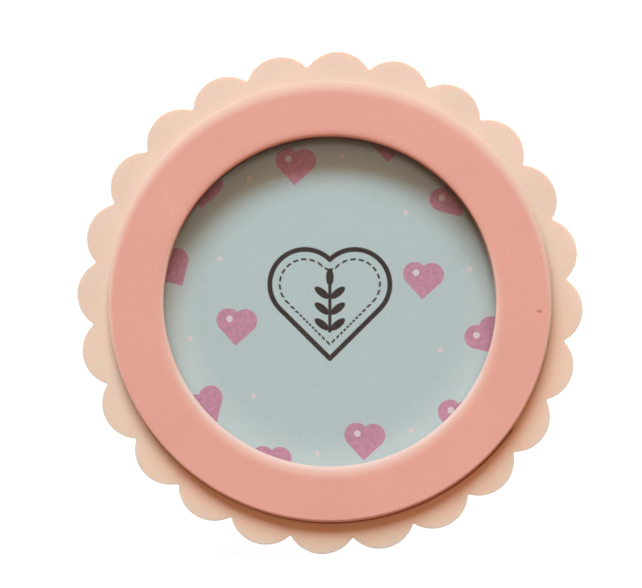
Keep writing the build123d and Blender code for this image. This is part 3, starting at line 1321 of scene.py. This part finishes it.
@dataclass
class Studio:
    """The camera at the photograph's angle, the lamps and the white floor."""

    face: Face
    distance: float = 1.85
    below_face_deg: float = 6.39
    left_deg: float = 0.73
    picture_px: tuple[int, int] = (642, 588)
    frame_centre_px: Pair = (329.9, 302.5)
    lobes_across_px: float = 505.2
    lobes_across: float = Front.across_lobes
    rim_middle_depth: float = Front.ring_height + Front.rim_thickness / 2
    sensor: float = 36.0
    lamps: tuple[Lamp, ...] = (
        Lamp(
            name="key", rise_deg=30.0, left_deg=12.0, distance=5.0,
            width=5.4, height=3.2, power=440.0, colour=(0.766, 0.875, 1.0),
        ),
        Lamp(
            name="warm_ceiling", rise_deg=60.0, left_deg=0.0, distance=4.0,
            width=5.0, height=5.0, power=27.0, colour=(1.0, 0.5, 0.24),
        ),
        Lamp(
            name="behind", rise_deg=-30.0, left_deg=-35.0, distance=2.0,
            width=1.2, height=1.2, power=30.0, colour=WHITE,
        ),
    )
    ambient: Colour = (0.185, 0.085, 0.04)
    mirrored: Colour = (0.8, 0.8, 0.8)
    floor_half: float = 20.0
    floor_glow: float = 0.96
    floor_shade: Colour = (0.14, 0.14, 0.14)
    floor_bounce: Colour = (0.35, 0.22, 0.15)

    def view_axes(self) -> Matrix:
        """Work out the camera's axes.

        Returns:
            The directions right, up and towards the viewer, as a matrix's columns.
        """
        below, left = math.radians(self.below_face_deg), math.radians(self.left_deg)
        towards = -self.face.back * math.cos(below) - self.face.up * math.sin(below)
        towards = towards * math.cos(left) - self.face.right * math.sin(left)
        across = self.face.picture_up.cross(towards).normalized()
        return Matrix((across, towards.cross(across), towards)).transposed()

    def build_camera(self) -> None:
        """Make the camera and set it as the scene's own."""
        axes = self.view_axes()
        across, up, towards = axes.col
        metres_per_px = self.lobes_across / self.lobes_across_px
        right_px = self.frame_centre_px[0] - self.picture_px[0] / 2
        down_px = self.frame_centre_px[1] - self.picture_px[1] / 2
        rim_middle = self.face.centre + self.face.back * self.rim_middle_depth
        aim = rim_middle + (up * down_px - across * right_px) * metres_per_px
        data = bpy.data.cameras.new("photo_camera")
        data.sensor_width = self.sensor
        data.lens = self.sensor * self.distance / (metres_per_px * self.picture_px[0])
        camera = bpy.data.objects.new("photo_camera", data)
        camera.matrix_world = Matrix.Translation(aim + towards * self.distance) @ axes.to_4x4()
        bpy.context.scene.collection.objects.link(camera)
        bpy.context.scene.camera = camera

    def hang(self, lamp: Lamp) -> None:
        """Hang a lamp so that it points at the window.

        Args:
            lamp: The lamp.
        """
        axes = self.view_axes()
        rise, left = math.radians(lamp.rise_deg), math.radians(lamp.left_deg)
        on_face = axes.col[1] * math.cos(left) - axes.col[0] * math.sin(left)
        offset = (on_face * math.cos(rise) - self.face.back * math.sin(rise)) * lamp.distance
        data = bpy.data.lights.new(lamp.name, "AREA")
        data.shape = "ELLIPSE"
        data.size = lamp.width
        data.size_y = lamp.height
        data.energy = lamp.power
        data.color = lamp.colour
        hung = bpy.data.objects.new(lamp.name, data)
        hung.location = self.face.centre + offset
        hung.rotation_euler = (-offset).to_track_quat("-Z", "Y").to_euler()
        bpy.context.scene.collection.objects.link(hung)

    def build_floor(self) -> None:
        """Lay a white floor that keeps a faint shadow."""
        mesh = bpy.data.meshes.new("floor")
        sheet = bmesh.new()
        bmesh.ops.create_grid(sheet, x_segments=1, y_segments=1, size=self.floor_half)
        sheet.to_mesh(mesh)
        sheet.free()
        floor = bpy.data.objects.new("floor", mesh)
        bpy.context.scene.collection.objects.link(floor)
        material, graph = new_material("floor_white")
        glow = graph.add("ShaderNodeEmission", inputs={"Color": WHITE, "Strength": self.floor_glow})
        shade = graph.add("ShaderNodeBsdfDiffuse", inputs={"Color": self.floor_shade})
        seen = graph.add("ShaderNodeAddShader", inputs={0: glow, 1: shade})
        bounce = graph.add("ShaderNodeBsdfDiffuse", inputs={"Color": self.floor_bounce})
        looked_at = graph.ray("Camera", "Glossy", "Transmission")
        graph.surface(graph.add("ShaderNodeMixShader", inputs={0: looked_at, 1: bounce, 2: seen}))
        mesh.materials.append(material)

    def build_world(self) -> None:
        """White to the eye, and an even warm light on the object."""
        world = bpy.data.worlds.new("studio")
        world.use_nodes = True
        graph = Graph(world.node_tree)
        unseen = graph.mix(graph.ray("Glossy"), self.ambient, self.mirrored)
        colour = graph.mix(graph.ray("Camera", "Transmission"), unseen, WHITE)
        sky = graph.add("ShaderNodeBackground", inputs={"Color": colour})
        graph.add("ShaderNodeOutputWorld", inputs={"Surface": sky})
        bpy.context.scene.world = world

    def build(self) -> None:
        """Set up the whole studio."""
        self.build_camera()
        for lamp in self.lamps:
            self.hang(lamp)
        self.build_floor()
        self.build_world()
        bpy.context.scene.view_settings.view_transform = "Standard"


PHOTO_ROLL_DEG = 5.47
CORAL = (0.763, 0.411, 0.329)
BORE_RADII = (56.0, 55.0)
BORE_REACH = (5.0, 30.0)
# Painted shade: the ring's upper inner lip is deepened to a darker red where shade falls.
UPPER_LIP_SHADE = PaintedShading(colour=(0.725, 0.29, 0.185), radii=BORE_RADII, reach=BORE_REACH, depths=(0.05, 0.6))
# Painted shade: the upper bore wall further in is painted nearly black.
BORE_SHADE = PaintedShading(colour=(0.06, 0.018, 0.01), radii=BORE_RADII, reach=BORE_REACH, depths=(2.4, 4.4))
SCRATCH = Hairline(
    across=-74.3, rise=18.3, radius=28.3, width=0.14,
    lowest=25.0, highest=37.5, strength=0.5, colour=scaled(CORAL, 1.35),
)
# Painted highlight: a pale line along the window's lower inner edge, which faces up to the light.
LOWER_LIP_HIGHLIGHT = Hairline(
    radius=50.5, width=1.2, lowest=-60.0, highest=-22.0, strength=0.8, colour=(0.77, 0.64, 0.57)
)
BRUISES = (
    Bruise(across=62.8, rise=-3.4, half_width=1.1, half_height=0.5, strength=0.6),
    Bruise(across=63.4, rise=12.8, half_width=0.6, half_height=0.3, strength=0.3),
)
# Painted shadow: the peach turns deeper and redder next to the ring, towards its lower right.
RING_SHADOW_TINT = PaintedShading(colour=(0.85, 0.59, 0.42), radii=(77.0, 67.0), way=(0.3, -0.95), reach=(0.0, 55.0))
# Painted shadow: a dark red line on the peach along the ring's lower edge.
SEAM_SHADOW = Hairline(
    across=0.35, radius=66.6, width=0.6, lowest=-80.0, highest=-38.0, strength=0.9, colour=(0.36, 0.08, 0.03)
)


def mix_finishes(face: Face) -> dict[Slot, Material]:
    """Make every finish once.

    Args:
        face: The face that the paint and the print are laid out on.

    Returns:
        The materials by slot.
    """
    coral = Paint(
        slot=Slot.CORAL,
        colour=CORAL,
        # Paler coral painted on edges as a highlight.
        edge_highlight=(0.765, 0.55, 0.44),
        face=face,
        on_top=(UPPER_LIP_SHADE, BORE_SHADE, SCRATCH, LOWER_LIP_HIGHLIGHT, *BRUISES),
    )
    peach = Paint(
        slot=Slot.PEACH,
        colour=(0.79, 0.657, 0.518),
        # Paler peach painted on edges as a highlight.
        edge_highlight=(0.84, 0.78, 0.66),
        face=face,
        under=(RING_SHADOW_TINT,),
        on_top=(SEAM_SHADOW,),
        spread_weight=0.6,
        spread_radii=(1.0, 0.3, 0.18),
        light_spread=2.5 * MM,
    )
    greyboard = Board(slot=Slot.GREYBOARD, colour=(0.35, 0.31, 0.25))
    fibreboard = Board(slot=Slot.FIBREBOARD, colour=(0.32, 0.2, 0.11))
    finishes = (coral, peach, ClearGlass(), PrintedPaper(face), greyboard, fibreboard, Flock(), PlatedSteel())
    return {finish.slot: finish.material() for finish in finishes}


def main() -> None:
    """Set up the studio, then build and dress each sub-assembly."""
    logging.basicConfig(level=logging.INFO, format="%(name)s: %(message)s")
    face = Face.from_frame(Stack.pane_front + Stack.pane_thickness / 2, PHOTO_ROLL_DEG)
    Studio(face).build()
    finishes = mix_finishes(face)
    for kind in (Front, Stack, Fittings):
        kind(face, finishes).build()


if __name__ == "__main__":
    main()
